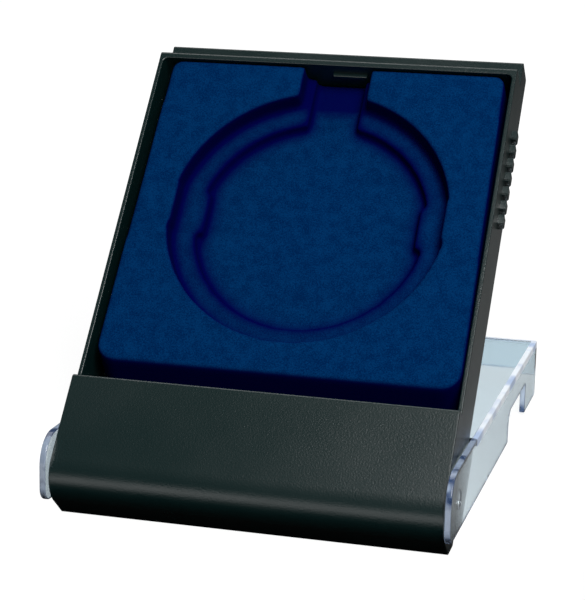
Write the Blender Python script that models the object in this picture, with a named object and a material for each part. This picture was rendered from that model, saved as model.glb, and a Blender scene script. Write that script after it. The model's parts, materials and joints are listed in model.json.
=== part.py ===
# Medal case that stands on its own lid.
# A black moulded base holds a flocked insert, and the clear lid is hinged at the base's foot.
# The lid swings right round behind the base and becomes its stand.
# Metres, +Z up. The table is at Z = 0, the face looks towards -Y, and the case leans back.
#
# Two local frames are used:
#   case frame: x across, y into the depth from the apron's face, z up the face from the foot
#   lid frame:  x across, y along the lid panel from the pivot, z square to the panel

import math

import bmesh
import bpy
from mathutils import Matrix, Vector

# Base moulding
CASE_WIDTH = 0.0950
CASE_DEPTH = 0.0190
CASE_HEIGHT = 0.1340
LEAN = math.radians(42.5)
SIDE_WALL = 0.0011
FLOOR_THICKNESS = 0.0018
EDGE_BEVEL = 0.0004

# Apron: the thick band across the foot, proud of the rim
APRON_HEIGHT = 0.0300
APRON_STEP = 0.0030
APRON_FOOT_RADIUS = 0.0080
APRON_TOP_RADIUS = 0.0010
APRON_WALL = 0.0018
HEEL_DEPTH = 0.0040

# Rim round the tray, and the ledge behind its top wall
RIM_TOP_DROP = 0.0072
RIM_TOP_WALL = 0.0019
RIM_TOP_RADIUS = 0.0006
LEDGE_DEPTH = 0.0082
LEDGE_WALL = 0.0015
TRAY_CORNER_RADIUS = 0.0015

# Cored pockets in the back
APRON_POCKETS = 4
POCKET_RIB = 0.0016
POCKET_RADIUS = 0.0010
HEEL_WALL = 0.0018

# Grip ribs on both sides, nearly flush with the lid's wall when it is shut
GRIP_RIBS = 7
GRIP_WIDTH = 0.0027
GRIP_PROUD = 0.0015
GRIP_LENGTH = 0.0034
GRIP_FRONT_GAP = 0.0013
GRIP_END_GAP = 0.00135
GRIP_RADIUS = 0.0005

# Catch bar under the tray's top wall
CATCH_WIDTH = 0.0090
CATCH_PROUD = 0.0009
CATCH_THICKNESS = 0.0012
CATCH_SETBACK = 0.0036
CATCH_SHIFT = 0.0038

# Flocked insert
INSERT_SETBACK = 0.0005
INSERT_SHELL = 0.0010
INSERT_BOTTOM_GAP = 0.0064
INSERT_SHIFT = 0.0006
INSERT_TAPER = 0.0013
INSERT_LOW_RADIUS = 0.0050
INSERT_HIGH_RADIUS = 0.0030
INSERT_SKIRT_RUN = 0.0045

# Two-level round recess for the medal, with a channel for its ring
RECESS_RADIUS = 0.0356
RECESS_DEPTH = 0.0055
WELL_RADIUS = 0.0296
WELL_DEPTH = 0.0028
RECESS_RISE = 0.0508
PAD_INSET = 0.0010
WELL_PAD_INSET = 0.0024
PAD_HEIGHT = 0.0116
PAD_RISE = 0.0011
CHANNEL_WIDTH = 0.0176
CHANNEL_WELL_WIDTH = 0.0130
CHANNEL_SHIFT = 0.0005

# Clear lid
LID_WALL = 0.0015
LID_PANEL = 0.0020
LID_SIDE_DEPTH = 0.0161
LID_EDGE_BEVEL = 0.0005
LID_RIM_CLEARANCE = 0.0005
PIVOT_RISE = 0.0115
PIVOT_DEPTH = 0.0090
EAR_REACH = 0.0122
EAR_TOP_RADIUS = 0.0074
EAR_FOOT_RADIUS = 0.0034
NOTCH_MARGIN = 0.0202
NOTCH_LENGTH = 0.0300
NOTCH_HEIGHT = 0.0083
NOTCH_RADIUS = 0.0040
STUD_RADIUS = 0.00235
STUD_PAST_WALL = 0.0008

# Clearances and construction
GAP = 0.0003
OVERRUN = 0.0020
SINK = 0.0005
ARC_STEPS = 5
CIRCLE_SEGMENTS = 72
STUD_SEGMENTS = 32
BEVEL_SEGMENTS = 2
BEVEL_ANGLE = math.radians(40.0)

# Worked out from the sizes above
HALF_WIDTH = CASE_WIDTH / 2
HEEL_START = CASE_DEPTH - HEEL_DEPTH
HEEL_RISE = HEEL_DEPTH * math.tan(LEAN)
RIM_TOP = CASE_HEIGHT - RIM_TOP_DROP
LEDGE_FRONT = CASE_DEPTH - LEDGE_DEPTH
TRAY_TOP = RIM_TOP - RIM_TOP_WALL
TRAY_FLOOR = CASE_DEPTH - FLOOR_THICKNESS

LID_HALF_INSIDE = HALF_WIDTH + GAP
LID_HALF_OUTSIDE = LID_HALF_INSIDE + LID_WALL
LID_UNDER = PIVOT_DEPTH - APRON_STEP + LID_RIM_CLEARANCE
LID_TOP = LID_UNDER + LID_PANEL
LID_BOTTOM = LID_TOP - LID_SIDE_DEPTH
LID_REACH = CASE_HEIGHT - PIVOT_RISE
LID_END_BOTTOM = PIVOT_DEPTH - LEDGE_FRONT + GAP
NOTCH_END = LID_REACH - NOTCH_MARGIN
NOTCH_START = NOTCH_END - NOTCH_LENGTH

# The case stands on its heel, and the lid's far corners touch the table
PIVOT_HEIGHT = PIVOT_RISE * math.cos(LEAN) + (HEEL_START - PIVOT_DEPTH) * math.sin(LEAN)
CORNER_DISTANCE = math.hypot(LID_REACH, LID_BOTTOM)
LID_TILT = math.asin(PIVOT_HEIGHT / CORNER_DISTANCE) - math.atan2(-LID_BOTTOM, LID_REACH)

# The panel's near edge rests against the back of the base when the lid is the stand
STAND_ANGLE = math.pi / 2 - LEAN + LID_TILT
PANEL_START = (CASE_DEPTH + GAP - PIVOT_DEPTH + LID_TOP * math.cos(STAND_ANGLE)) / math.sin(STAND_ANGLE)


def material(name, colour, roughness, metallic=0.0, alpha=1.0):
    """A Principled material with one plain colour."""
    made = bpy.data.materials.new(name)
    made.use_nodes = True
    shader = made.node_tree.nodes["Principled BSDF"]
    shader.inputs["Base Color"].default_value = (*colour, 1.0)
    shader.inputs["Roughness"].default_value = roughness
    shader.inputs["Metallic"].default_value = metallic
    shader.inputs["Alpha"].default_value = alpha
    return made


def rounded(corners):
    """Outline from (a, b, radius) corners, each sharp where its radius is zero."""
    points = []
    count = len(corners)
    for index, (a, b, radius) in enumerate(corners):
        here = Vector((a, b))
        if radius == 0:
            points.append(here)
            continue
        before = Vector(corners[index - 1][:2])
        after = Vector(corners[(index + 1) % count][:2])
        to_before = (before - here).normalized()
        to_after = (after - here).normalized()
        half_angle = to_before.angle(to_after) / 2
        centre = here + (to_before + to_after).normalized() * (radius / math.sin(half_angle))
        start = here + to_before * (radius / math.tan(half_angle)) - centre
        end = here + to_after * (radius / math.tan(half_angle)) - centre
        turn = start.angle_signed(end)
        for step in range(ARC_STEPS + 1):
            angle = -turn * step / ARC_STEPS
            points.append(centre + Matrix.Rotation(angle, 2) @ start)
    return points


def prism(name, outline, axis, low, high):
    """A closed solid: the outline swept from low to high.

    With axis X the outline is (y, z), and with axis Y it is (x, z).
    """
    mesh = bpy.data.meshes.new(name)
    shape = bmesh.new()
    if axis == "X":
        loop = [shape.verts.new((low, a, b)) for a, b in outline]
        sweep = Vector((high - low, 0, 0))
    else:
        loop = [shape.verts.new((a, low, b)) for a, b in outline]
        sweep = Vector((0, high - low, 0))
    face = shape.faces.new(loop)
    swept = bmesh.ops.extrude_face_region(shape, geom=[face])
    moved = [item for item in swept["geom"] if isinstance(item, bmesh.types.BMVert)]
    bmesh.ops.translate(shape, vec=sweep, verts=moved)
    bmesh.ops.recalc_face_normals(shape, faces=shape.faces)
    shape.to_mesh(mesh)
    shape.free()
    made = bpy.data.objects.new(name, mesh)
    bpy.context.scene.collection.objects.link(made)
    return made


def box(name, x_range, y_range, z_range):
    """A plain block between two values on each axis."""
    y_low, y_high = y_range
    z_low, z_high = z_range
    outline = [(y_low, z_low), (y_high, z_low), (y_high, z_high), (y_low, z_high)]
    return prism(name, outline, "X", *x_range)


def circle(radius, centre_a, centre_b, segments):
    """Points round a circle."""
    return [
        (
            centre_a + radius * math.cos(2 * math.pi * index / segments),
            centre_b + radius * math.sin(2 * math.pi * index / segments),
        )
        for index in range(segments)
    ]


def place(piece, frame):
    """Hang a piece on one of the two frames."""
    piece.parent = frame
    return piece


def boolean(target, tool, operation):
    """Cut or join with another shape, which is then only a guide."""
    tool.parent = target.parent
    tool.hide_render = True
    tool.display_type = "WIRE"
    modifier = target.modifiers.new(tool.name, "BOOLEAN")
    modifier.object = tool
    modifier.operation = operation
    modifier.solver = "EXACT"


def bevel(target, width):
    """Round the sharp edges a little, as a mould does."""
    modifier = target.modifiers.new("moulded_edge", "BEVEL")
    modifier.width = width
    modifier.segments = BEVEL_SEGMENTS
    modifier.limit_method = "ANGLE"
    modifier.angle_limit = BEVEL_ANGLE


def base_profile():
    """The base seen from its side, as (depth, rise) corners with their radii."""
    return [
        (HEEL_START, 0, 0),
        (CASE_DEPTH, HEEL_RISE, 0),
        (CASE_DEPTH, CASE_HEIGHT, RIM_TOP_RADIUS),
        (LEDGE_FRONT, CASE_HEIGHT, RIM_TOP_RADIUS),
        (LEDGE_FRONT, RIM_TOP, 0),
        (APRON_STEP, RIM_TOP, RIM_TOP_RADIUS),
        (APRON_STEP, APRON_HEIGHT, 0),
        (0, APRON_HEIGHT, APRON_TOP_RADIUS),
        (0, 0, APRON_FOOT_RADIUS),
    ]


def pocket_outline(x_low, x_high, z_low, z_high):
    """A pocket seen from behind, with rounded corners."""
    return rounded([
        (x_low, z_low, POCKET_RADIUS),
        (x_high, z_low, POCKET_RADIUS),
        (x_high, z_high, POCKET_RADIUS),
        (x_low, z_high, POCKET_RADIUS),
    ])


def pocket_row(target, name, z_low, z_high, y_front):
    """A row of cored pockets between ribs, open at the back."""
    inside = HALF_WIDTH - APRON_WALL
    pitch = (2 * inside + POCKET_RIB) / APRON_POCKETS
    for index in range(APRON_POCKETS):
        x_low = -inside + index * pitch
        x_high = x_low + pitch - POCKET_RIB
        outline = pocket_outline(x_low, x_high, z_low, z_high)
        tool = prism(f"cut_{name}_{index + 1}", outline, "Y", y_front, CASE_DEPTH + OVERRUN)
        boolean(target, tool, "DIFFERENCE")


def grip_ribs(target, side):
    """Raised ribs on one side, spread along the lid's notch, where a fingertip reaches them."""
    half = GRIP_WIDTH / 2
    first = PIVOT_RISE + NOTCH_START + GRIP_END_GAP + half
    pitch = (NOTCH_LENGTH - 2 * GRIP_END_GAP - GRIP_WIDTH) / (GRIP_RIBS - 1)
    y_front = PIVOT_DEPTH - (LID_BOTTOM + NOTCH_HEIGHT) + GRIP_FRONT_GAP
    hand = "right" if side > 0 else "left"
    for index in range(GRIP_RIBS):
        centre = first + index * pitch
        outline = rounded([
            (HALF_WIDTH - SINK, centre - half, 0),
            (HALF_WIDTH + GRIP_PROUD, centre - half, GRIP_RADIUS),
            (HALF_WIDTH + GRIP_PROUD, centre + half, GRIP_RADIUS),
            (HALF_WIDTH - SINK, centre + half, 0),
        ])
        outline = [(side * x, z) for x, z in outline]
        tool = prism(f"grip_{hand}_{index + 1}", outline, "Y", y_front, y_front + GRIP_LENGTH)
        boolean(target, tool, "UNION")


def make_base(frame, finish):
    """The black moulding: apron, tray with its rim, ledge, pockets, grips and pivot holes."""
    base = place(prism("base_moulding", rounded(base_profile()), "X", -HALF_WIDTH, HALF_WIDTH), frame)
    bevel(base, EDGE_BEVEL)
    inside = HALF_WIDTH - SIDE_WALL
    tray = rounded([
        (-inside, APRON_HEIGHT, TRAY_CORNER_RADIUS),
        (inside, APRON_HEIGHT, TRAY_CORNER_RADIUS),
        (inside, TRAY_TOP, TRAY_CORNER_RADIUS),
        (-inside, TRAY_TOP, TRAY_CORNER_RADIUS),
    ])
    boolean(base, prism("cut_tray", tray, "Y", -OVERRUN, TRAY_FLOOR), "DIFFERENCE")
    pocket_row(base, "apron", HEEL_RISE + HEEL_WALL, APRON_HEIGHT - APRON_WALL, APRON_WALL)
    pocket_row(base, "ledge", RIM_TOP, CASE_HEIGHT - LEDGE_WALL, LEDGE_FRONT + LEDGE_WALL)
    for side in (-1, 1):
        hole = circle(STUD_RADIUS + GAP, PIVOT_DEPTH, PIVOT_RISE, STUD_SEGMENTS)
        ends = sorted((side * (HALF_WIDTH - APRON_WALL - OVERRUN), side * (HALF_WIDTH + OVERRUN)))
        tool = prism(f"cut_pivot_{'right' if side > 0 else 'left'}", hole, "X", *ends)
        boolean(base, tool, "DIFFERENCE")
        grip_ribs(base, side)
    catch = box(
        "catch_bar",
        (CATCH_SHIFT - CATCH_WIDTH / 2, CATCH_SHIFT + CATCH_WIDTH / 2),
        (APRON_STEP + CATCH_SETBACK, APRON_STEP + CATCH_SETBACK + CATCH_THICKNESS),
        (TRAY_TOP - CATCH_PROUD, TRAY_TOP + SINK),
    )
    boolean(base, catch, "UNION")
    base.data.materials.append(finish)
    return base


def recess_outline(radius, pad_inset, centre_z):
    """A round recess with a flat pad on each side that grips the medal."""
    pad_x = radius - pad_inset
    pad_low = PAD_RISE - PAD_HEIGHT / 2
    pad_high = PAD_RISE + PAD_HEIGHT / 2
    low_angle = math.asin(pad_low / radius)
    high_angle = math.asin(pad_high / radius)
    arc = []
    steps = CIRCLE_SEGMENTS // 2
    sweep = math.pi - 2 * high_angle
    for step in range(steps + 1):
        angle = high_angle + sweep * step / steps
        arc.append((radius * math.cos(angle), radius * math.sin(angle)))
    arc += [(-pad_x, pad_high), (-pad_x, pad_low)]
    sweep = math.pi + 2 * low_angle
    for step in range(steps + 1):
        angle = math.pi - low_angle + sweep * step / steps
        arc.append((radius * math.cos(angle), radius * math.sin(angle)))
    arc += [(pad_x, pad_low), (pad_x, pad_high)]
    return [(x + INSERT_SHIFT, z + centre_z) for x, z in arc]


def insert_block(name, inset, y_face, y_back):
    """The insert's outside, drawn in by an inset: a little narrower towards the top."""
    half_low = HALF_WIDTH - SIDE_WALL - GAP - INSERT_SHIFT - inset
    half_high = half_low - INSERT_TAPER
    z_low = APRON_HEIGHT + INSERT_BOTTOM_GAP + inset
    z_high = TRAY_TOP - GAP - inset
    low_radius = INSERT_LOW_RADIUS - inset
    high_radius = INSERT_HIGH_RADIUS - inset
    outline = rounded([
        (INSERT_SHIFT - half_low, z_low, low_radius),
        (INSERT_SHIFT + half_low, z_low, low_radius),
        (INSERT_SHIFT + half_high, z_high, high_radius),
        (INSERT_SHIFT - half_high, z_high, high_radius),
    ])
    block = prism(name, outline, "Y", y_face, y_back)
    # The skirt along the bottom slopes out towards the tray's floor.
    middle = (z_low + z_high) / 2
    for vertex in block.data.vertices:
        if vertex.co.y > (y_face + y_back) / 2 and vertex.co.z < middle:
            share = (middle - vertex.co.z) / (middle - z_low)
            vertex.co.z -= INSERT_SKIRT_RUN * min(share, 1.0)
    return block


def insert_cutters(grow, y_face):
    """The recess, its well and the ring channel at both depths, grown by a wall thickness."""
    centre_z = APRON_HEIGHT + RECESS_RISE
    ledge_floor = APRON_STEP + INSERT_SETBACK + RECESS_DEPTH + grow
    well_floor = ledge_floor + WELL_DEPTH
    channel_x = INSERT_SHIFT + CHANNEL_SHIFT
    levels = [
        ("recess", RECESS_RADIUS + grow, PAD_INSET, ledge_floor, CHANNEL_WIDTH / 2 + grow),
        ("well", WELL_RADIUS + grow, WELL_PAD_INSET, well_floor, CHANNEL_WELL_WIDTH / 2 + grow),
    ]
    tools = []
    tag = "inner" if grow else "outer"
    for level, radius, inset, floor, half in levels:
        outline = recess_outline(radius, inset, centre_z)
        tools.append(prism(f"cut_{level}_{tag}", outline, "Y", y_face - OVERRUN, floor))
        tools.append(box(
            f"cut_channel_{level}_{tag}",
            (channel_x - half, channel_x + half),
            (y_face - OVERRUN, floor),
            (centre_z, TRAY_TOP + OVERRUN),
        ))
    return tools


def make_insert(frame, finish):
    """The flocked sheet, formed to a face, a skirt and a two-level recess."""
    y_face = APRON_STEP + INSERT_SETBACK
    y_back = TRAY_FLOOR - GAP
    insert = place(insert_block("flocked_insert", 0, y_face, y_back), frame)
    for tool in insert_cutters(0, y_face):
        boolean(insert, tool, "DIFFERENCE")
    back = insert_block("cut_insert_back", INSERT_SHELL, y_face + INSERT_SHELL, y_back + OVERRUN)
    hollow = place(back, frame)
    for tool in insert_cutters(INSERT_SHELL, y_face):
        boolean(hollow, tool, "DIFFERENCE")
    boolean(insert, hollow, "DIFFERENCE")
    insert.data.materials.append(finish)
    return insert


def lid_side_profile():
    """One side of the lid with its ear, its finger notch and its far corner."""
    notch_top = LID_BOTTOM + NOTCH_HEIGHT
    return rounded([
        (-EAR_REACH, LID_BOTTOM, EAR_FOOT_RADIUS),
        (NOTCH_START, LID_BOTTOM, 0),
        (NOTCH_START, notch_top, NOTCH_RADIUS),
        (NOTCH_END, notch_top, 0),
        (NOTCH_END, LID_BOTTOM, 0),
        (LID_REACH, LID_BOTTOM, 0),
        (LID_REACH, LID_TOP, 0),
        (-EAR_REACH, LID_TOP, EAR_TOP_RADIUS),
    ])


def make_lid(frame, finish):
    """The clear moulding: panel, two side walls with ears, far wall and the two pivot studs."""
    lid = place(prism("lid", lid_side_profile(), "X", -LID_HALF_OUTSIDE, LID_HALF_OUTSIDE), frame)
    bevel(lid, LID_EDGE_BEVEL)
    far_inside = LID_REACH - LID_WALL
    room = [
        (-EAR_REACH - OVERRUN, LID_BOTTOM - OVERRUN),
        (LID_REACH + OVERRUN, LID_BOTTOM - OVERRUN),
        (LID_REACH + OVERRUN, LID_END_BOTTOM),
        (far_inside, LID_END_BOTTOM),
        (far_inside, LID_UNDER),
        (PANEL_START, LID_UNDER),
        (PANEL_START, LID_TOP + OVERRUN),
        (-EAR_REACH - OVERRUN, LID_TOP + OVERRUN),
    ]
    boolean(lid, prism("cut_lid_room", room, "X", -LID_HALF_INSIDE, LID_HALF_INSIDE), "DIFFERENCE")
    stud_end = HALF_WIDTH - APRON_WALL - STUD_PAST_WALL
    for side in (-1, 1):
        ends = sorted((side * stud_end, side * (LID_HALF_INSIDE + SINK)))
        stud = circle(STUD_RADIUS, 0, 0, STUD_SEGMENTS)
        boolean(lid, prism(f"stud_{'right' if side > 0 else 'left'}", stud, "X", *ends), "UNION")
    lid.data.materials.append(finish)
    return lid


def frames():
    """Two empties: the case frame on the heel, and the lid frame on the pivot axis.

    The whole is shifted along Y so that its middle stands over the origin.
    """
    to_case = Matrix.Rotation(-LEAN, 3, "X")
    heel = to_case @ Vector((0, HEEL_START, 0))
    pivot = to_case @ Vector((0, PIVOT_DEPTH, PIVOT_RISE)) - heel
    to_lid = Matrix.Rotation(-LID_TILT, 3, "X")
    depths = [(pivot + to_lid @ Vector((0, a, b))).y for a, b in lid_side_profile()]
    shift = Vector((0, -(min(depths) + max(depths)) / 2, 0))
    case_frame = bpy.data.objects.new("case_frame", None)
    case_frame.rotation_euler = (-LEAN, 0, 0)
    case_frame.location = shift - heel
    lid_frame = bpy.data.objects.new("lid_frame", None)
    lid_frame.rotation_euler = (-LID_TILT, 0, 0)
    lid_frame.location = shift + pivot
    for empty in (case_frame, lid_frame):
        bpy.context.scene.collection.objects.link(empty)
    return case_frame, lid_frame


def main():
    for old in list(bpy.data.objects):
        bpy.data.objects.remove(old, do_unlink=True)
    black = material("black_polystyrene", (0.018, 0.020, 0.020), 0.42)
    flock = material("blue_flock", (0.001, 0.022, 0.098), 0.95)
    clear = material("clear_polystyrene", (0.80, 0.87, 0.90), 0.08, alpha=0.35)
    case_frame, lid_frame = frames()
    base = make_base(case_frame, black)
    make_insert(case_frame, flock)
    lid = make_lid(lid_frame, clear)
    for piece in (base, lid):
        piece.data.shade_smooth()
        piece.data.set_sharp_from_angle(angle=BEVEL_ANGLE)
    print(f"pivot at {tuple(round(v, 5) for v in lid_frame.location)}")
    print(f"lid tilt {math.degrees(LID_TILT):.3f}, stand angle {math.degrees(STAND_ANGLE):.3f} degrees")
    print(f"panel starts {PANEL_START:.5f} from the pivot")


main()
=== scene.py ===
# %% [markdown]
# A medal case that stands on its own lid.
# The real thing is three mouldings: a black polystyrene base, a formed sheet covered in blue flock,
# and a clear polystyrene lid with two studs that snap into the base.
# Here each of the three is modelled again, finer than the engineering solids, and given its finish.
# The solids are the frame: every size and place below follows them.

# %% Load the frame
import math
import json

import bmesh
import bpy
from mathutils import Matrix, Vector


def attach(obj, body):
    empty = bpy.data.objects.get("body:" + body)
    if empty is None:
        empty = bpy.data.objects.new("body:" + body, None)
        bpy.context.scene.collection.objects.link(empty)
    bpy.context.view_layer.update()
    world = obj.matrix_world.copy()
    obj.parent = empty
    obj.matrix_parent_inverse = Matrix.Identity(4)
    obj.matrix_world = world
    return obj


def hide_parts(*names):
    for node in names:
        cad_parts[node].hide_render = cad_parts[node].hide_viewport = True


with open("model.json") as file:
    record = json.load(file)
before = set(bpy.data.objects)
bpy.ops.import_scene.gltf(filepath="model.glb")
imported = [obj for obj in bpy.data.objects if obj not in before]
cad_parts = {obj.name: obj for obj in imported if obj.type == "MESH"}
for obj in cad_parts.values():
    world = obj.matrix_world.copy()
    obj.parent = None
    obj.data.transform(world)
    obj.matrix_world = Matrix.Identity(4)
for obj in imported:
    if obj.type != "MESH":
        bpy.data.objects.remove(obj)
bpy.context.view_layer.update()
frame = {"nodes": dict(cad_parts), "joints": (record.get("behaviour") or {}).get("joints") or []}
print("nodes in the frame:", sorted(frame["nodes"]))

# %% [markdown]
# An operator works on everything that is selected, and the loaded nodes arrive selected.
# So the first thing is to let go of them all.

# %% Nothing is selected
bpy.ops.object.select_all(action="DESELECT")
print("selected objects:", len(bpy.context.selected_objects))

# %% [markdown]
# The sizes are those of the real case, in millimetres turned to metres.
# The case measures 95 by 134 by 19 mm without its lid, and leans back at 42.5 degrees when it stands.
# Two more distances serve to pick edges by their place: points within TOUCH of each other
# count as one place, and points more than APART from each other count as two.

# %% Sizes of the base
MM = 0.001
CASE_WIDTH = 95 * MM
CASE_DEPTH = 19 * MM
CASE_HEIGHT = 134 * MM
LEAN = math.radians(42.5)
SIDE_WALL = 1.1 * MM
FLOOR = 1.8 * MM
APRON_HEIGHT = 30 * MM
APRON_STEP = 3 * MM
FOOT_RADIUS = 8 * MM
HEEL_DEPTH = 4 * MM
RIM_TOP = 126.8 * MM
RIM_TOP_WALL = 1.9 * MM
LEDGE_FRONT = 10.8 * MM
GAP = 0.3 * MM
OVERRUN = 2 * MM
TOUCH = GAP / 10
APART = 1 * MM

half_width = CASE_WIDTH / 2
tray_top = RIM_TOP - RIM_TOP_WALL
tray_floor = CASE_DEPTH - FLOOR
heel_start = CASE_DEPTH - HEEL_DEPTH
print(f"tray inside: {2 * (half_width - SIDE_WALL) / MM:.1f} by {(tray_top - APRON_HEIGHT) / MM:.1f} mm")

# %% [markdown]
# The lid turns on a pivot low in the case's sides, so its sizes are counted from there:
# the panel lies above the pivot, the walls reach below it, the ears reach past it in front
# and the far wall stands at the other end.

# %% Sizes of the lid
PIVOT_RISE = 11.5 * MM
PIVOT_DEPTH = 9 * MM
LID_WALL = 1.5 * MM
LID_PANEL = 2 * MM
LID_TOP = 8.5 * MM
LID_BOTTOM = -7.6 * MM
EAR_REACH = 12.2 * MM
STUD_RADIUS = 2.35 * MM

lid_inside = half_width + GAP
lid_outside = lid_inside + LID_WALL
lid_reach = CASE_HEIGHT - PIVOT_RISE
print(f"lid: {2 * lid_outside / MM:.1f} wide, {(lid_reach + EAR_REACH) / MM:.1f} long")

# %% [markdown]
# Each piece is easiest to model lying square to the axes, as it would on a bench,
# and is put in its place at the end.
# The hinge's place comes from the frame, and both local frames are worked out from it.

# %% The two local frames
hinge = frame["joints"][0]
pivot = Vector(hinge["pos_m"])
lean_turn = Matrix.Rotation(-LEAN, 4, "X")
case_origin = pivot - lean_turn @ Vector((0, PIVOT_DEPTH, PIVOT_RISE))
case_place = Matrix.Translation(case_origin) @ lean_turn

corner_distance = math.hypot(lid_reach, LID_BOTTOM)
lid_tilt = math.asin(pivot.z / corner_distance) - math.atan2(-LID_BOTTOM, lid_reach)
lid_place = Matrix.Translation(pivot) @ Matrix.Rotation(-lid_tilt, 4, "X")
print(f"lid tilt {math.degrees(lid_tilt):.2f} degrees")

# %% [markdown]
# A handful of helpers stand for what a hand does again and again.
# The first two add the shapes that everything here starts from: a block between two corners,
# and a rod from one point to another.

# %% Add a block between two corners
def block(name, low, high):
    low, high = Vector(low), Vector(high)
    bpy.ops.mesh.primitive_cube_add(size=1, location=(low + high) / 2, scale=high - low)
    made = bpy.context.object
    made.name = name
    bpy.ops.object.transform_apply(location=True, rotation=False, scale=True)
    return made


# %% Add a rod along an axis
def rod(name, radius, start, end, sides=64):
    start, end = Vector(start), Vector(end)
    along = end - start
    turn = along.to_track_quat("Z", "Y").to_euler()
    bpy.ops.mesh.primitive_cylinder_add(
        vertices=sides, radius=radius, depth=along.length, location=(start + end) / 2, rotation=turn
    )
    made = bpy.context.object
    made.name = name
    bpy.ops.object.transform_apply(location=True, rotation=True, scale=True)
    return made


# %% [markdown]
# Some work is done on the whole mesh in edit mode, such as cutting it along a plane.
# Rounding is done there too, but on a few edges, which a test picks by their place:
# runs_deep is such a test, for the edges that run from front to back.
# The bevel isn't clamped, because one short edge anywhere would hold back the round on all of them.

# %% Edit the whole mesh, or bevel some of its edges
def edit_all(piece, operator, **settings):
    bpy.context.view_layer.objects.active = piece
    bpy.ops.object.mode_set(mode="EDIT")
    bpy.ops.mesh.select_all(action="SELECT")
    operator(**settings)
    bpy.ops.object.mode_set(mode="OBJECT")


def bevel_picked(piece, picked, width, segments):
    bpy.context.view_layer.objects.active = piece
    bpy.ops.object.mode_set(mode="EDIT")
    bpy.ops.mesh.select_mode(type="EDGE")
    bpy.ops.mesh.select_all(action="DESELECT")
    shape = bmesh.from_edit_mesh(piece.data)
    for edge in shape.edges:
        edge.select = picked(edge)
    bmesh.update_edit_mesh(piece.data)
    bpy.ops.mesh.bevel(offset=width, segments=segments, profile=0.5, affect="EDGES", clamp_overlap=False)
    bpy.ops.object.mode_set(mode="OBJECT")


def bevel_edges(piece, chosen, width, segments):
    bevel_picked(piece, lambda edge: chosen(edge.verts[0].co, edge.verts[1].co), width, segments)


def runs_deep(a, b):
    return abs(a.y - b.y) > APART


# %% [markdown]
# A Boolean modifier cuts one shape out of another, or joins the two into one skin.
# It is applied at once, and the shape that did the work is thrown away.

# %% Cut with, or join on, another shape
def combine(piece, tool, operation="DIFFERENCE"):
    modifier = piece.modifiers.new("combine", "BOOLEAN")
    modifier.object = tool
    modifier.operation = operation
    modifier.solver = "EXACT"
    bpy.context.view_layer.objects.active = piece
    bpy.ops.object.modifier_apply(modifier=modifier.name)
    bpy.data.objects.remove(tool, do_unlink=True)


# %% [markdown]
# A small round next to a big flat face would bend the light over the whole of that face,
# so the normals are weighted by area: the flat face keeps its own, and the round takes up the turn.
# A finished piece is then turned to its place, and that place is applied to its mesh.

# %% Shade rounds smooth and flats flat
def shade_rounds(piece, sharper_than=35):
    bpy.ops.object.select_all(action="DESELECT")
    bpy.context.view_layer.objects.active = piece
    piece.select_set(True)
    bpy.ops.object.shade_smooth_by_angle(angle=math.radians(sharper_than))
    modifier = piece.modifiers.new("flats_lead", "WEIGHTED_NORMAL")
    modifier.keep_sharp = True
    bpy.ops.object.modifier_apply(modifier=modifier.name)


# %% Put a finished piece in its place
def settle(piece, place):
    bpy.ops.object.select_all(action="DESELECT")
    piece.matrix_world = place @ piece.matrix_world
    piece.select_set(True)
    bpy.context.view_layer.objects.active = piece
    bpy.ops.object.transform_apply(location=True, rotation=True, scale=True)
    piece.select_set(False)
    print(f"{piece.name}: {len(piece.data.polygons)} faces")


# %% [markdown]
# The base is an injection moulding in high-impact polystyrene.
# Its side view could be drawn and pulled out sideways, but a block is a quicker start:
# the foot's big radius and the heel are made on its plain edges first,
# because later cuts would break those edges up.

# %% Base: the block, its round foot and its heel
base = block("base_shell", (-half_width, 0, 0), (half_width, CASE_DEPTH, CASE_HEIGHT))
bevel_edges(base, lambda a, b: max(a.y, b.y, a.z, b.z) < GAP, FOOT_RADIUS, segments=20)

edit_all(
    base, bpy.ops.mesh.bisect,
    plane_co=(0, heel_start, 0), plane_no=(0, math.sin(LEAN), -math.cos(LEAN)),
    use_fill=True, clear_outer=True,
)
print(f"base block: {len(base.data.vertices)} vertices")

# %% [markdown]
# Two steps give the side view its shape: the rim stands 3 mm behind the apron's face,
# and a ledge stands behind the top wall, for the lid's far wall to close over.
# Both are straight, so a block cuts each of them out.

# %% Base: the two steps
far = CASE_HEIGHT + OVERRUN
wide = half_width + OVERRUN
combine(base, block("cut_front", (-wide, -OVERRUN, APRON_HEIGHT), (wide, APRON_STEP, far)))
combine(base, block("cut_ledge", (-wide, -OVERRUN, RIM_TOP), (wide, LEDGE_FRONT, far)))
print(f"base with its steps: {len(base.data.vertices)} vertices")

# %% [markdown]
# No moulded edge is sharp. Small rounds catch the light along the rim and the apron,
# which is most of what the eye reads as plastic.
# They come before the small cuts, while every edge is still long and plain.
# The rim's top edge is the roundest: a soft bead that shows as a bright line.

# %% Base: rounded edges
RIM_BEAD = 0.9 * MM
APRON_ROUND = 0.8 * MM
TOP_ROUND = 0.7 * MM
EDGE = 0.2 * MM


def across(a, b, z, y):
    return max(abs(a.z - z), abs(b.z - z), abs(a.y - y), abs(b.y - y)) < TOUCH


bevel_edges(base, lambda a, b: across(a, b, RIM_TOP, APRON_STEP), RIM_BEAD, segments=6)
bevel_edges(base, lambda a, b: across(a, b, APRON_HEIGHT, 0), APRON_ROUND, segments=4)
bevel_edges(
    base,
    lambda a, b: across(a, b, CASE_HEIGHT, LEDGE_FRONT) or across(a, b, CASE_HEIGHT, CASE_DEPTH),
    TOP_ROUND, segments=4,
)
bevel_edges(base, lambda a, b: abs(a.x + b.x) > 2 * half_width - TOUCH, EDGE, segments=4)
print(f"base with round edges: {len(base.data.vertices)} vertices")

# %% [markdown]
# The tray is the room for the insert. Its corners are rounded, as a milling cutter leaves them in a mould,
# so the cutter's four long edges are bevelled before it cuts.

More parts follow.
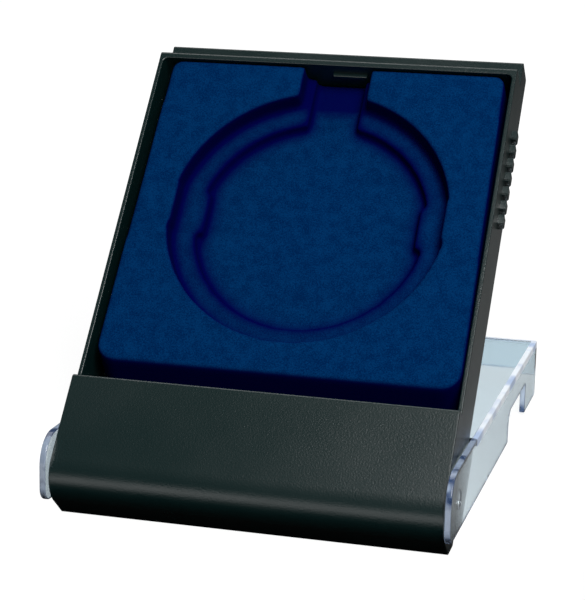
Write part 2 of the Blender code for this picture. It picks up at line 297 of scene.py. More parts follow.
# %% Base: the tray
TRAY_CORNER = 1.5 * MM
RIM_INNER = 0.3 * MM
inside = half_width - SIDE_WALL
tray = block("cut_tray", (-inside, -OVERRUN, APRON_HEIGHT), (inside, tray_floor, tray_top))
bevel_edges(tray, runs_deep, TRAY_CORNER, segments=6)
combine(base, tray)


def round_tray_mouth(a, b):
    in_front = abs(a.y - APRON_STEP) + abs(b.y - APRON_STEP) < TOUCH
    along_tray = max(abs(a.x), abs(b.x)) < inside + TOUCH
    return in_front and along_tray and tray_top + TOUCH > max(a.z, b.z) > APRON_HEIGHT + GAP


bevel_edges(base, round_tray_mouth, RIM_INNER, segments=3)
print(f"base with its tray: {len(base.data.vertices)} vertices")

# %% [markdown]
# Thick walls shrink and leave hollows in the face, so a moulder cores them out from behind.
# The apron gets four deep pockets with ribs between, and the ledge gets four shallow ones.

# %% Base: cored pockets in the back
POCKETS = 4
POCKET_RIB = 1.6 * MM
POCKET_CORNER = 1 * MM
WALL = 1.8 * MM
LEDGE_WALL = 1.5 * MM


def core_out(z_low, z_high, front):
    room = 2 * (half_width - WALL)
    pitch = (room + POCKET_RIB) / POCKETS
    for index in range(POCKETS):
        left = index * pitch - room / 2
        right = left + pitch - POCKET_RIB
        cutter = block("cut_pocket", (left, front, z_low), (right, CASE_DEPTH + OVERRUN, z_high))
        bevel_edges(cutter, runs_deep, POCKET_CORNER, segments=4)
        combine(base, cutter)


heel_rise = HEEL_DEPTH * math.tan(LEAN)
core_out(heel_rise + WALL, APRON_HEIGHT - WALL, WALL)
core_out(RIM_TOP, CASE_HEIGHT - LEDGE_WALL, LEDGE_FRONT + LEDGE_WALL)
print(f"base with its pockets: {len(base.data.vertices)} vertices")

# %% [markdown]
# Seven short ribs on each side fill the lid's finger notch,
# so a thumb can hold the base while the lid is opened.
# One is modelled at the origin, with round corners and a longer round at its back,
# and the rest are copies of it. Half a turn makes it fit the other side.

# %% Base: grip ribs
RIBS = 7
RIB_WIDTH = 2.7 * MM
RIB_PROUD = 1.5 * MM
RIB_LENGTH = 3.4 * MM
RIB_FRONT = 9.6 * MM
RIB_END_GAP = 1.35 * MM
NOTCH_MARGIN = 20.2 * MM
NOTCH_LENGTH = 30 * MM
NOTCH_END = lid_reach - NOTCH_MARGIN
RIB_BACK_ROUND = 1.0 * MM
RIB_CORNER = 0.4 * MM
SINK = 0.5 * MM


def rib_corner(a, b):
    return max(a.x, b.x) > GAP and min(abs(a.z), abs(b.z)) > APART and a.z * b.z > 0


rib = block("rib", (-SINK, 0, -RIB_WIDTH / 2), (RIB_PROUD, RIB_LENGTH, RIB_WIDTH / 2))
bevel_edges(rib, lambda a, b: min(a.x, b.x) > 0 and min(a.y, b.y) > APART, RIB_BACK_ROUND, segments=5)
bevel_edges(rib, rib_corner, RIB_CORNER, segments=3)
rib_pitch = (NOTCH_LENGTH - 2 * RIB_END_GAP - RIB_WIDTH) / (RIBS - 1)
first_rib = PIVOT_RISE + NOTCH_END - NOTCH_LENGTH + RIB_END_GAP + RIB_WIDTH / 2
bpy.ops.object.select_all(action="DESELECT")
for side, turn in ((1, 0), (-1, math.pi)):
    for index in range(RIBS):
        place = Vector((side * half_width, RIB_FRONT, first_rib + index * rib_pitch))
        copy = bpy.data.objects.new("rib_copy", rib.data.copy())
        bpy.context.collection.objects.link(copy)
        copy.matrix_world = Matrix.Translation(place) @ Matrix.Rotation(turn, 4, "Y")
        copy.select_set(True)
bpy.data.objects.remove(rib, do_unlink=True)
bpy.context.view_layer.objects.active = copy
bpy.ops.object.join()
combine(base, bpy.context.object, "UNION")
print(f"base with its ribs, {rib_pitch / MM:.2f} mm apart: {len(base.data.vertices)} vertices")

# %% [markdown]
# A small bar under the tray's top wall is the catch: the lid's far wall springs over it.
# The pivot holes go through the side walls, a running fit on the lid's studs.

# %% Base: catch bar and pivot holes
CATCH_WIDTH = 9 * MM
CATCH_DEPTH = 1.2 * MM
CATCH_PROUD = 0.9 * MM
CATCH_SETBACK = 3.6 * MM
CATCH_MIDDLE = 3.8 * MM
CATCH_ROUND = 0.3 * MM

catch_front = APRON_STEP + CATCH_SETBACK
catch = block(
    "catch",
    (CATCH_MIDDLE - CATCH_WIDTH / 2, catch_front, tray_top - CATCH_PROUD),
    (CATCH_MIDDLE + CATCH_WIDTH / 2, catch_front + CATCH_DEPTH, tray_top + SINK),
)
bevel_edges(catch, lambda a, b: max(a.z, b.z) < tray_top, CATCH_ROUND, segments=3)
combine(base, catch, "UNION")
for side in (-1, 1):
    inner = (side * (half_width - WALL - OVERRUN), PIVOT_DEPTH, PIVOT_RISE)
    outer = (side * (half_width + OVERRUN), PIVOT_DEPTH, PIVOT_RISE)
    combine(base, rod("cut_pivot", STUD_RADIUS + GAP, inner, outer))
shade_rounds(base)
settle(base, case_place)

# %% [markdown]
# The insert is a plastic sheet, formed over a tool and then flocked: glue is sprayed on,
# and short fibres are shot into it by static charge.
# The fibres round every edge off, so sharp cuts would look like metal.
# The plan is to cut the shape sharp, then remesh it into small even squares and smooth those.

# %% Insert: its outside
INSERT_FACE = APRON_STEP + 0.5 * MM
INSERT_LOW = APRON_HEIGHT + 6.4 * MM
INSERT_HIGH = tray_top - GAP
INSERT_SHIFT = 0.6 * MM
INSERT_TAPER = 1.3 * MM
LOW_CORNER = 5 * MM
HIGH_CORNER = 3 * MM
HIGH_ROLL = 2.6 * MM
SKIRT_RUN = 4.5 * MM

insert_half = half_width - SIDE_WALL - GAP - INSERT_SHIFT
insert_back = tray_floor - GAP
insert = block(
    "flocked_tray",
    (INSERT_SHIFT - insert_half, INSERT_FACE, INSERT_LOW),
    (INSERT_SHIFT + insert_half, insert_back, INSERT_HIGH),
)
for corner in insert.data.vertices:
    if corner.co.z > INSERT_LOW + APART:
        corner.co.x -= math.copysign(INSERT_TAPER, corner.co.x)
bevel_edges(insert, lambda a, b: runs_deep(a, b) and a.z < INSERT_LOW + APART, LOW_CORNER, segments=12)
bevel_edges(
    insert, lambda a, b: runs_deep(a, b) and min(a.z, b.z) > INSERT_HIGH - APART, HIGH_CORNER, segments=10
)
bevel_edges(insert, lambda a, b: across(a, b, INSERT_HIGH, INSERT_FACE), HIGH_ROLL, segments=6)
insert_middle = (INSERT_LOW + INSERT_HIGH) / 2
for corner in insert.data.vertices:
    if corner.co.y > INSERT_FACE + APART and corner.co.z < insert_middle:
        corner.co.z -= SKIRT_RUN * (insert_middle - corner.co.z) / (insert_middle - INSERT_LOW)
print(f"insert block: {len(insert.data.vertices)} vertices")

# %% [markdown]
# The recess holds a medal in one of two sizes, so it has two levels.
# At each level a round cutter is flattened a little on both sides, where the medal is gripped,
# and a channel runs up from it for the medal's ring.

# %% Insert: the recess and the ring channel
RECESS_CENTRE = APRON_HEIGHT + 50.8 * MM
LEVELS = {
    "recess": {"radius": 35.6 * MM, "pad": 1.0 * MM, "depth": 5.5 * MM, "channel": 17.6 * MM},
    "well": {"radius": 29.6 * MM, "pad": 2.4 * MM, "depth": 8.3 * MM, "channel": 13.0 * MM},
}
PAD_LOW = RECESS_CENTRE - 4.7 * MM
PAD_HIGH = RECESS_CENTRE + 6.9 * MM
CHANNEL_SHIFT = 0.5 * MM

for name, level in LEVELS.items():
    floor_y = INSERT_FACE + level["depth"]
    front_y = INSERT_FACE - OVERRUN
    front, back = (INSERT_SHIFT, front_y, RECESS_CENTRE), (INSERT_SHIFT, floor_y, RECESS_CENTRE)
    cutter = rod(name, level["radius"], front, back, sides=128)
    for side in (-1, 1):
        left, right = sorted((INSERT_SHIFT + side * (level["radius"] - level["pad"]), side * half_width))
        pad = block("pad", (left, front_y - OVERRUN, PAD_LOW), (right, floor_y + OVERRUN, PAD_HIGH))
        combine(cutter, pad)
    combine(insert, cutter)
    left = INSERT_SHIFT + CHANNEL_SHIFT - level["channel"] / 2
    channel = block("channel", (left, front_y, RECESS_CENTRE), (left + level["channel"], floor_y, far))
    combine(insert, channel)
print(f"insert with its recess: {len(insert.data.vertices)} vertices")

# %% [markdown]
# Remeshing turns the block into even squares, a few smoothing passes round the edges as flock does,
# and the back is cut away to leave a skin, which then gets the thickness of the sheet and its pile.

# %% Insert: soft edges and a thin wall
FLOCK_MESH = 0.6 * MM
SMOOTH_PASSES = 12
BACK_CUT = 1 * MM
SHEET = 0.9 * MM
modifier = insert.modifiers.new("even_squares", "REMESH")
modifier.mode = "VOXEL"
modifier.voxel_size = FLOCK_MESH
modifier.use_smooth_shade = True
bpy.context.view_layer.objects.active = insert
bpy.ops.object.modifier_apply(modifier=modifier.name)
modifier = insert.modifiers.new("flock_edges", "SMOOTH")
modifier.factor = 0.5
modifier.iterations = SMOOTH_PASSES
bpy.ops.object.modifier_apply(modifier=modifier.name)

edit_all(
    insert, bpy.ops.mesh.bisect,
    plane_co=(0, insert_back - BACK_CUT, 0), plane_no=(0, 1, 0), clear_outer=True,
)
modifier = insert.modifiers.new("sheet", "SOLIDIFY")
modifier.thickness = SHEET
modifier.offset = -1
bpy.ops.object.modifier_apply(modifier=modifier.name)
insert.data.shade_smooth()
print(f"insert sheet: {len(insert.data.vertices)} vertices")

# %% [markdown]
# Painted shade: the recess's steep walls, and the floor right below them, are painted almost black, as the
# shade that falls there.
# The narrow ring channel's whole floor is painted dark too, as its shadow.
# That is painted on the points: steep ones are dark, below the face the dark spreads a little,
# and it fills the channel above the round recess.
# FLAT and STEEP are how square on a point looks forward, where 1 is fully square on.

# %% Insert: painted shade in the recess and the channel
SPREAD_PASSES = 40
SPREAD_SHARE = 2.2
SPREAD_DEPTH = 1.5 * MM
SPREAD_LAG = 0.3
CHANNEL_SHADE_RISE = (32 * MM, 36 * MM)
CHANNEL_SHADE_SHARE = 0.95
FLAT = 0.985
STEEP = 0.485

mesh = insert.data
# Painted shade: each point gets a share of painted darkness.
steepness = [min(1.0, max(0.0, (FLAT - abs(point.normal.y)) / (FLAT - STEEP))) for point in mesh.vertices]
group = insert.vertex_groups.new(name="painted_shade_spread")
for point, value in zip(mesh.vertices, steepness):
    group.add([point.index], value, "REPLACE")
edit_all(
    insert, bpy.ops.object.vertex_group_smooth,
    group_select_mode="ACTIVE", factor=0.5, repeat=SPREAD_PASSES,
)
paint = mesh.attributes.new("painted_hollow_shade", "FLOAT", "POINT")
for point, steep in zip(mesh.vertices, steepness):
    below_face = min(1.0, max(0.0, (point.co.y - INSERT_FACE) / SPREAD_DEPTH - SPREAD_LAG))
    spread = min(1.0, SPREAD_SHARE * sum(member.weight for member in point.groups))
    risen = (point.co.z - RECESS_CENTRE - CHANNEL_SHADE_RISE[0]) / (CHANNEL_SHADE_RISE[1] - CHANNEL_SHADE_RISE[0])
    paint.data[point.index].value = max(steep, below_face * max(spread, min(CHANNEL_SHADE_SHARE, risen)))
insert.vertex_groups.remove(group)
print(f"darkest share painted: {max(value.value for value in paint.data):.2f}")
settle(insert, case_place)

# %% [markdown]
# The lid is one clear moulding: a panel, two side walls that end in round ears,
# a far wall, and a stud inside each ear.
# The block's ear corners are rounded first, then the room inside is cut out of it.

# %% Lid: the block and its ears
EAR_TOP_RADIUS = 7.4 * MM
EAR_FOOT_RADIUS = 3.4 * MM

lid = block("clear_lid", (-lid_outside, -EAR_REACH, LID_BOTTOM), (lid_outside, lid_reach, LID_TOP))
bevel_edges(lid, lambda a, b: max(a.y, b.y) < 0 and min(a.z, b.z) > 0, EAR_TOP_RADIUS, segments=12)
bevel_edges(
    lid, lambda a, b: max(a.y, b.y) < 0 and max(a.z, b.z) < LID_BOTTOM + GAP, EAR_FOOT_RADIUS, segments=10
)
print(f"lid block: {len(lid.data.vertices)} vertices")

# %% [markdown]
# Where the panel starts is set by the base: standing, its near edge rests on the back of the case.
# So its place is worked out from the two angles, as the engineering model does.

# %% Lid: the room inside
stand_angle = math.pi / 2 - LEAN + lid_tilt
panel_start = (CASE_DEPTH + GAP - PIVOT_DEPTH + LID_TOP * math.cos(stand_angle)) / math.sin(stand_angle)
lid_under = LID_TOP - LID_PANEL
far_wall_bottom = PIVOT_DEPTH - LEDGE_FRONT + GAP
past_ear = -EAR_REACH - OVERRUN
below = LID_BOTTOM - OVERRUN

combine(lid, block("cut_room", (-lid_inside, past_ear, below), (lid_inside, lid_reach - LID_WALL, lid_under)))
combine(lid, block("cut_mouth", (-lid_inside, past_ear, 0), (lid_inside, panel_start, LID_TOP + OVERRUN)))
combine(lid, block("cut_far", (-lid_inside, 0, below), (lid_inside, lid_reach + OVERRUN, far_wall_bottom)))
print(f"lid, hollow: {len(lid.data.vertices)} vertices, panel from {panel_start / MM:.1f} mm")

# %% [markdown]
# A finger notch in each side wall leaves the base's grip ribs free when the case is shut.
# The cuts leave seams across flat faces, and a limited dissolve takes those away again.

# %% Lid: finger notches
NOTCH_HEIGHT = 8.3 * MM
NOTCH_RADIUS = 4 * MM
SEAM_ANGLE = math.radians(0.5)
notch_start = NOTCH_END - NOTCH_LENGTH
notch = block("cut_notch", (-wide, notch_start, below), (wide, NOTCH_END, LID_BOTTOM + NOTCH_HEIGHT))
bevel_edges(
    notch,
    lambda a, b: max(a.y, b.y) < notch_start + GAP and min(a.z, b.z) > LID_BOTTOM,
    NOTCH_RADIUS, segments=10,
)
combine(lid, notch)
edit_all(lid, bpy.ops.mesh.dissolve_limited, angle_limit=SEAM_ANGLE)
print(f"lid with notches: {len(lid.data.vertices)} vertices")

# %% [markdown]
# Where a wall stands under the panel, its light shows through as a pale band, which is painted on as a glow.
# Five flat cuts mark that band off, on the panel and down the panel's thickness,
# so that it can have its painted glow, and a small round on every edge catches the light.

# %% Lid: the bands over the walls, and round edges
LID_EDGE = 0.3 * MM
SHARP = math.radians(35)

band = lid_inside + TOUCH
for place, normal in (
    ((band, 0, 0), (1, 0, 0)),
    ((-band, 0, 0), (1, 0, 0)),
    ((0, lid_reach - LID_WALL + TOUCH, 0), (0, 1, 0)),
    ((0, panel_start + TOUCH, 0), (0, 1, 0)),
    ((0, 0, lid_under + TOUCH), (0, 0, 1)),
):
    edit_all(lid, bpy.ops.mesh.bisect, plane_co=place, plane_no=normal)
bevel_picked(lid, lambda edge: edge.calc_face_angle_signed() > SHARP, LID_EDGE, segments=3)
print(f"lid with round edges: {len(lid.data.vertices)} vertices")

# %% [markdown]
# The lid turns on two short studs, one inside each ear, that snap into the holes in the base.
# They come last, and sink a little into the wall, so that the two make one skin.
# Their inner ends are rounded, which is what lets them slide over the base's edge when they are pressed in.

# %% Lid: pivot studs
STUD_THROUGH = 0.8 * MM
STUD_ROUND = 0.3 * MM
stud_end = half_width - WALL - STUD_THROUGH
for side in (-1, 1):
    stud = rod("stud", STUD_RADIUS, (side * stud_end, 0, 0), (side * (lid_inside + SINK), 0, 0))
    bevel_edges(stud, lambda a, b: max(abs(a.x), abs(b.x)) < lid_inside, STUD_ROUND, segments=3)
    combine(lid, stud, "UNION")
shade_rounds(lid)
print(f"lid with studs: {len(lid.data.vertices)} vertices")

# %% [markdown]
# Now the finishes. Colours are written as a screen shows them, and a shader works in linear light,
# so one function turns the first into the second. Another adds a node with its values and links.
# A Mix node has sockets for numbers too, so its two colours are its sockets number 6 and 7.

# %% Colour and node helpers
COLOUR_A, COLOUR_B = 6, 7


def linear(hex_colour):
    parts = [int(hex_colour[place : place + 2], 16) / 255 for place in (1, 3, 5)]
    return (*[((part + 0.055) / 1.055) ** 2.4 if part > 0.04045 else part / 12.92 for part in parts], 1)


def add_node(tree, kind, values=None, links=None, **properties):
    made = tree.nodes.new(kind)
    for name, value in properties.items():
        setattr(made, name, value)
    for name, value in (values or {}).items():
        made.inputs[name].default_value = value
    for name, source in (links or {}).items():
        tree.links.new(source, made.inputs[name])
    return made


def new_material(name):
    made = bpy.data.materials.new(name)
    made.use_nodes = True
    return made, made.node_tree, made.node_tree.nodes["Principled BSDF"]


# %% [markdown]
# Black polystyrene, moulded in a spark-eroded tool: satin, with a fine grain that breaks up the highlights,
# and faint cloudy patches where hands have polished it.
# The real grain is about 0.15 mm, too fine to show from here, so it is drawn at 0.4 mm.

# %% Finish: satin moulded polystyrene
black, tree, shader = new_material("moulded_satin_black_polystyrene")
GRAIN = 0.4 * MM
GRAIN_DEPTH = 0.045 * MM
HANDLING = 30 * MM
POLYSTYRENE_INDEX = 1.59
place = add_node(tree, "ShaderNodeTexCoord").outputs["Object"]
grain = add_node(tree, "ShaderNodeTexNoise", {"Scale": 1 / GRAIN, "Detail": 2.0}, {"Vector": place})
cloud = add_node(tree, "ShaderNodeTexNoise", {"Scale": 1 / HANDLING, "Detail": 3.0}, {"Vector": place})
bump = add_node(
    tree, "ShaderNodeBump", {"Strength": 1.0, "Distance": GRAIN_DEPTH}, {"Height": grain.outputs["Fac"]}
)
satin = add_node(
    tree, "ShaderNodeMapRange", {"From Min": 0.3, "From Max": 0.7, "To Min": 0.27, "To Max": 0.33},
    {"Value": cloud.outputs["Fac"]},
)
tree.links.new(bump.outputs["Normal"], shader.inputs["Normal"])
tree.links.new(satin.outputs["Result"], shader.inputs["Roughness"])
shader.inputs["Base Color"].default_value = linear("#051C1C")
shader.inputs["IOR"].default_value = POLYSTYRENE_INDEX
shader.inputs["Specular IOR Level"].default_value = 0.5
base.data.materials.clear()
base.data.materials.append(black)
print("made", black.name)

# %% [markdown]
# Flock is a short pile of blue nylon fibres. It has no gloss, a soft edge light called sheen,
# and small blotches where the pile leans one way or the other.
# A fibre is 0.02 mm thick, far too fine to show, so the speckle is drawn at 0.35 mm, about a tuft.

# %% Finish: blue nylon flock
flock, tree, shader = new_material("flocked_blue_nylon")
FIBRE = 0.35 * MM
BLOTCH = 3 * MM
BLOTCH_SHARE = 0.5
PILE_HEIGHT = 0.08 * MM
place = add_node(tree, "ShaderNodeTexCoord").outputs["Object"]
fibre = add_node(tree, "ShaderNodeTexNoise", {"Scale": 1 / FIBRE, "Detail": 2.0}, {"Vector": place})
blotch = add_node(tree, "ShaderNodeTexNoise", {"Scale": 1 / BLOTCH, "Detail": 3.0}, {"Vector": place})
mixed = add_node(
    tree, "ShaderNodeMath", {1: BLOTCH_SHARE},
    {0: blotch.outputs["Fac"], 2: fibre.outputs["Fac"]}, operation="MULTIPLY_ADD",
)
pile = add_node(tree, "ShaderNodeValToRGB", None, {"Fac": mixed.outputs["Value"]})
pile.color_ramp.elements[0].position = 0.6
pile.color_ramp.elements[0].color = linear("#001E47")
pile.color_ramp.elements[1].position = 0.9
pile.color_ramp.elements[1].color = linear("#022E5B")
# Painted shade: where the points are painted, the flock's colour gives way to a near-black navy.
painted_shade = add_node(tree, "ShaderNodeAttribute", attribute_name="painted_hollow_shade").outputs["Fac"]
shade = add_node(tree, "ShaderNodeMix", None, {"Factor": painted_shade}, data_type="RGBA")
shade.inputs[COLOUR_B].default_value = linear("#02033E")
tree.links.new(pile.outputs["Color"], shade.inputs[COLOUR_A])
bump = add_node(
    tree, "ShaderNodeBump", {"Strength": 0.6, "Distance": PILE_HEIGHT}, {"Height": fibre.outputs["Fac"]}
)
tree.links.new(shade.outputs[2], shader.inputs["Base Color"])
tree.links.new(bump.outputs["Normal"], shader.inputs["Normal"])
shader.inputs["Roughness"].default_value = 1.0
shader.inputs["Specular IOR Level"].default_value = 0.0
shader.inputs["Sheen Weight"].default_value = 0.02
shader.inputs["Sheen Roughness"].default_value = 0.5
shader.inputs["Sheen Tint"].default_value = linear("#104A90")
insert.data.materials.clear()
insert.data.materials.append(flock)
print("made", flock.name)

# %% [markdown]
# General-purpose polystyrene, moulded between polished steel faces: water clear and glossy, with a slight
# waviness where the melt flowed. Its index is high, 1.59, which is why its edges light up:
# light is trapped between the faces and comes out at the ends.
# The ears stand close to the black base, so at a glancing angle they mirror it. That reflection is painted:
# their tips are darkened in the colour where the surface is seen edge on, and stay clear seen square on.
# The painted reflection sets in 49 mm in front of the object's middle and is full at 61 mm.

# %% Finish: clear polystyrene
clear, tree, shader = new_material("moulded_clear_polystyrene")
FLOW = 18 * MM
FLOW_HEIGHT = 0.1 * MM
REFLECTION_PAINT_STARTS = -49 * MM
REFLECTION_PAINT_FULL = -61 * MM
place = add_node(tree, "ShaderNodeTexCoord").outputs["Object"]
flow = add_node(tree, "ShaderNodeTexNoise", {"Scale": 1 / FLOW, "Detail": 1.0}, {"Vector": place})
bump = add_node(
    tree, "ShaderNodeBump", {"Strength": 0.2, "Distance": FLOW_HEIGHT}, {"Height": flow.outputs["Fac"]}
)
tree.links.new(bump.outputs["Normal"], shader.inputs["Normal"])
glance = add_node(tree, "ShaderNodeLayerWeight", {"Blend": 0.5}).outputs["Facing"]
along = add_node(tree, "ShaderNodeSeparateXYZ", None, {0: place}).outputs["Y"]
near_tip = add_node(
    tree, "ShaderNodeMapRange", {"From Min": REFLECTION_PAINT_STARTS, "From Max": REFLECTION_PAINT_FULL}, {"Value": along}
).outputs["Result"]
painted_reflection_share = add_node(tree, "ShaderNodeMath", None, {0: glance, 1: near_tip}, operation="MULTIPLY").outputs[0]
# Painted reflection: the ears' tips turn near black where the surface is seen edge on.
painted_reflection = add_node(tree, "ShaderNodeMix", None, {"Factor": painted_reflection_share}, data_type="RGBA")
painted_reflection.inputs[COLOUR_A].default_value = linear("#E2F2FA")
painted_reflection.inputs[COLOUR_B].default_value = linear("#060E18")
tree.links.new(painted_reflection.outputs[2], shader.inputs["Base Color"])
shader.inputs["Roughness"].default_value = 0.03
shader.inputs["IOR"].default_value = POLYSTYRENE_INDEX
shader.inputs["Transmission Weight"].default_value = 1.0
print("made", clear.name)

# %% [markdown]
# At an edge the trapped light comes out again, so edges look pale and a little blue, with streaks.
# Following every reflection inside a wall would take a renderer hundreds of turns,
# so that light is painted: the edge faces have two finishes that are partly clear and partly milky, painted
# pale with streaks.
# The ears' edges are the bluer one. The bands over the walls gather the most light,
# so theirs is painted nearly white and glows a little, though it is no lamp.

# %% Finishes: painted light on the edges of clear polystyrene
def painted_glow_finish(name, deep, pale, streak, clearness, glow_strength):
    made, tree, shader = new_material(name)
    place = add_node(tree, "ShaderNodeTexCoord").outputs["Object"]
    noise = add_node(tree, "ShaderNodeTexNoise", {"Scale": 1 / streak, "Detail": 2.0}, {"Vector": place})
    # Painted light: a pale, streaked tone stands for the light that comes out at the edge, and is also given
    # off as a glow.
    tone = add_node(tree, "ShaderNodeValToRGB", None, {"Fac": noise.outputs["Fac"]})
    for element, position, colour in zip(tone.color_ramp.elements, (0.36, 0.54), (deep, pale)):
        element.position = position
        element.color = linear(colour)
    tree.links.new(tone.outputs["Color"], shader.inputs["Base Color"])
    tree.links.new(tone.outputs["Color"], shader.inputs["Emission Color"])
    shader.inputs["Emission Strength"].default_value = glow_strength
    shader.inputs["Roughness"].default_value = 0.12
    shader.inputs["IOR"].default_value = POLYSTYRENE_INDEX
    shader.inputs["Transmission Weight"].default_value = clearness
    print("made", name)
    return made


painted_edge_light = painted_glow_finish(
    "painted_light_polystyrene_edge", "#3A5078", "#B6C6DE", streak=5 * MM, clearness=0.45, glow_strength=0.0
)
painted_band_glow = painted_glow_finish(
    "painted_glow_polystyrene_band", "#B4C6E4", "#F2F8FF", streak=12 * MM, clearness=0.2, glow_strength=0.3
)


# %% [markdown]
# Each face of the lid gets one of the three finishes by its place and the way it looks:
# the big faces are clear, the bands over the walls and the far wall's rims get the nearly white painted glow,
# and the other edges, most of all those of the ears, get the bluer painted light.

# %% The lid's faces get one of three finishes
CLEAR, PAINTED_EDGE_LIGHT, PAINTED_BAND_GLOW = range(3)
SQUARE_ON = 0.98
FAR_ZONE = 1.1 * LID_WALL


def finish_of(face):
    turned, middle = face.normal, face.center
    far_wall = middle.y > lid_reach - FAR_ZONE
    if far_wall and abs(turned.y) > SQUARE_ON:
        return CLEAR
    if middle.z > lid_under and middle.y > panel_start:
        over_room = abs(middle.x) < lid_inside and middle.y < lid_reach - LID_WALL
        return CLEAR if over_room else PAINTED_BAND_GLOW
    if abs(turned.x) > SQUARE_ON:
        return CLEAR
    if far_wall:
        return PAINTED_BAND_GLOW
    over_room = abs(middle.x) < lid_inside and panel_start < middle.y < lid_reach - LID_WALL
    panel_underside = abs(turned.z) > SQUARE_ON and middle.z > lid_under - GAP
    return CLEAR if over_room and panel_underside else PAINTED_EDGE_LIGHT


lid.data.materials.clear()
for finish in (clear, painted_edge_light, painted_band_glow):
    lid.data.materials.append(finish)
for face in lid.data.polygons:
    face.material_index = finish_of(face)
lit = sum(face.material_index > CLEAR for face in lid.data.polygons)
print(f"{lit} of the lid's {len(lid.data.polygons)} faces are lit edges")
settle(lid, lid_place)

# %% [markdown]
# Each piece rides on its body and stands for its engineering node, which is hidden.

# %% Tie the pieces to the frame
for piece, body, node_name, slot_name in (
    (base, "case", "base_moulding", "black_polystyrene"),
    (insert, "case", "flocked_insert", "blue_flock"),
    (lid, "lid", "lid", "clear_polystyrene"),
):
    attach(piece, body)
    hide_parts(node_name)
    print(piece.name, "rides on", body)

# %% [markdown]
# The floor is plain paper, and three things about it change from front to back.
# Its tone is painted dark right in front of the foot, a painted shadow of the foot,
# so the foot is black underneath.
# A glow makes it white for the camera and for what is seen through the clear lid.
# Behind the case that glow is weaker, so the shadow shows.
# A reflection sees no glow right in front of the foot, so the painted shadow holds there too,
# and sees the glow from a little way further, which draws the bright line along its bend.
# Each of the three is a short list of places, in metres from front to back, and its value there.

# %% How the floor changes from front to back
FLOOR_NEAR = -0.12
FLOOR_BACK = 0.60
PAPER_AND_PAINTED_SHADOW = ((-0.100, 0.35), (-0.085, 0.01), (-0.06, 0.01), (-0.03, 0.20))
GLOW = ((-0.03, 1.0), (0.03, 0.85), (0.20, 0.85), (0.50, 1.0))
REFLECTED_PAST_PAINTED_SHADOW = ((-0.100, 1.0), (-0.082, 0.0))


def along_floor(tree, distance, stops):
    reach = {"From Min": FLOOR_NEAR, "From Max": FLOOR_BACK}
    share = add_node(tree, "ShaderNodeMapRange", reach, {"Value": distance})
    made = add_node(tree, "ShaderNodeValToRGB", None, {"Fac": share.outputs["Result"]})
    ramp = made.color_ramp
    while len(ramp.elements) < len(stops):
        ramp.elements.new(0.5)
    for element, (place, value) in zip(ramp.elements, stops):
        element.position = (place - FLOOR_NEAR) / (FLOOR_BACK - FLOOR_NEAR)
        element.color = (value, value, value, 1)
    return made.outputs["Color"]


print("floor values at", [len(stops) for stops in (PAPER_AND_PAINTED_SHADOW, GLOW, REFLECTED_PAST_PAINTED_SHADOW)], "places")

# %% [markdown]
# A flat sheet far bigger than the picture is all the floor needs.
# Its finish adds up what each kind of ray sees: the camera and the clear lid see the glow,
# a reflection sees its own share of it, and the lamps only meet the grey paper.

# %% Floor
FLOOR_SIZE = 8.0
bpy.ops.mesh.primitive_plane_add(size=FLOOR_SIZE, location=(0, 0, 0))
floor = bpy.context.object
floor.name = "floor"
paper, tree, shader = new_material("uncoated_grey_paper")
shader.inputs["Roughness"].default_value = 1.0
shader.inputs["Specular IOR Level"].default_value = 0.0
shader.inputs["Emission Color"].default_value = (1, 1, 1, 1)
rays = add_node(tree, "ShaderNodeLightPath").outputs
place = add_node(tree, "ShaderNodeTexCoord").outputs["Object"]
distance = add_node(tree, "ShaderNodeSeparateXYZ", None, {0: place}).outputs["Y"]
# Painted shadow: the paper's tone drops to near black in a strip in front of the foot.
tree.links.new(along_floor(tree, distance, PAPER_AND_PAINTED_SHADOW), shader.inputs["Base Color"])
eye = add_node(
    tree, "ShaderNodeMath", None,
    {0: rays["Is Camera Ray"], 1: rays["Is Transmission Ray"]}, operation="ADD",
)
eye = add_node(
    tree, "ShaderNodeMath", None,
    {0: eye.outputs[0], 1: along_floor(tree, distance, GLOW)}, operation="MULTIPLY",
)
glow = add_node(
    tree, "ShaderNodeMath", None,
    {0: rays["Is Glossy Ray"], 1: along_floor(tree, distance, REFLECTED_PAST_PAINTED_SHADOW), 2: eye.outputs[0]},
    operation="MULTIPLY_ADD",
)
tree.links.new(glow.outputs[0], shader.inputs["Emission Strength"])
floor.data.materials.append(paper)
print("floor of", FLOOR_SIZE, "m")

# %% [markdown]
# One soft lamp above and in front lights the face nearly square on, so the recess's walls stay dark.
# It stands a little to the right, which lets its reflection fade out towards the left of the apron.
# A wide, weak one above and behind draws the case's upper edges.

# %% Lamps
def lamp(name, place, aim, size, watts):
    bpy.ops.object.light_add(type="AREA", location=place)
    made = bpy.context.object
    made.name = name
    made.data.shape = "RECTANGLE"
    made.data.size, made.data.size_y = size
    made.data.energy = watts
    made.rotation_euler = (Vector(aim) - Vector(place)).to_track_quat("-Z", "Y").to_euler()


lamp("key_lamp", place=(0.28, -0.50, 0.64), aim=(0, -0.03, 0.05), size=(0.3, 0.55), watts=7.5)
lamp("top_lamp", place=(0.0, 0.35, 0.75), aim=(0, 0, 0.05), size=(0.9, 0.5), watts=2.6)
print("made two lamps")

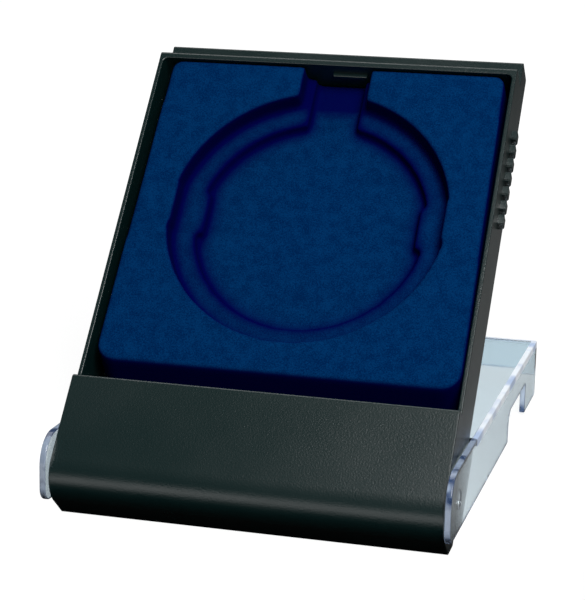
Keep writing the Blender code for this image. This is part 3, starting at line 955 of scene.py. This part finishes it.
# %% [markdown]
# The room around is a dim grey, which fills the shadows a little.
# The camera, also through the clear lid, sees it as white, as it sees the floor.

# %% World
world = bpy.data.worlds.new("studio")
bpy.context.scene.world = world
world.use_nodes = True
tree = world.node_tree
rays = add_node(tree, "ShaderNodeLightPath").outputs
seen = add_node(
    tree, "ShaderNodeMath", None,
    {0: rays["Is Camera Ray"], 1: rays["Is Transmission Ray"]}, operation="ADD", use_clamp=True,
)
dim = tree.nodes["Background"]
dim.inputs["Color"].default_value = linear("#9AA0A0")
dim.inputs["Strength"].default_value = 0.22
white = add_node(tree, "ShaderNodeBackground", {"Color": (1, 1, 1, 1), "Strength": 1.0})
both = add_node(
    tree, "ShaderNodeMixShader", None, {0: seen.outputs[0], 1: dim.outputs[0], 2: white.outputs[0]}
)
tree.links.new(both.outputs[0], tree.nodes["World Output"].inputs["Surface"])
print("made", world.name)

# %% [markdown]
# The camera stands where the photograph was taken: its place and lens were worked out
# from the straight edges of the case, whose sizes are known.

# %% Camera
CAMERA_SIDE = math.radians(14.929)
CAMERA_UP = math.radians(15.149)
CAMERA_ROLL = math.radians(0.674)
CAMERA_AIM = Vector((9.76, -58.54, 57.57)) * MM
CAMERA_DISTANCE = 434.75 * MM
LENS = 115.126

back = Vector((
    math.sin(CAMERA_SIDE) * math.cos(CAMERA_UP),
    -math.cos(CAMERA_SIDE) * math.cos(CAMERA_UP),
    math.sin(CAMERA_UP),
))
right = Vector((math.cos(CAMERA_SIDE), math.sin(CAMERA_SIDE), 0))
turn = Matrix((right, back.cross(right), back)).transposed() @ Matrix.Rotation(CAMERA_ROLL, 3, "Z")
bpy.ops.object.camera_add()
camera = bpy.context.object
camera.matrix_world = Matrix.Translation(CAMERA_AIM + back * CAMERA_DISTANCE) @ turn.to_4x4()
camera.data.lens = LENS
camera.data.sensor_width = 36
camera.data.clip_start = 0.01
bpy.context.scene.camera = camera
bpy.context.scene.view_settings.view_transform = "Standard"
print("camera at", [round(value, 4) for value in camera.location])
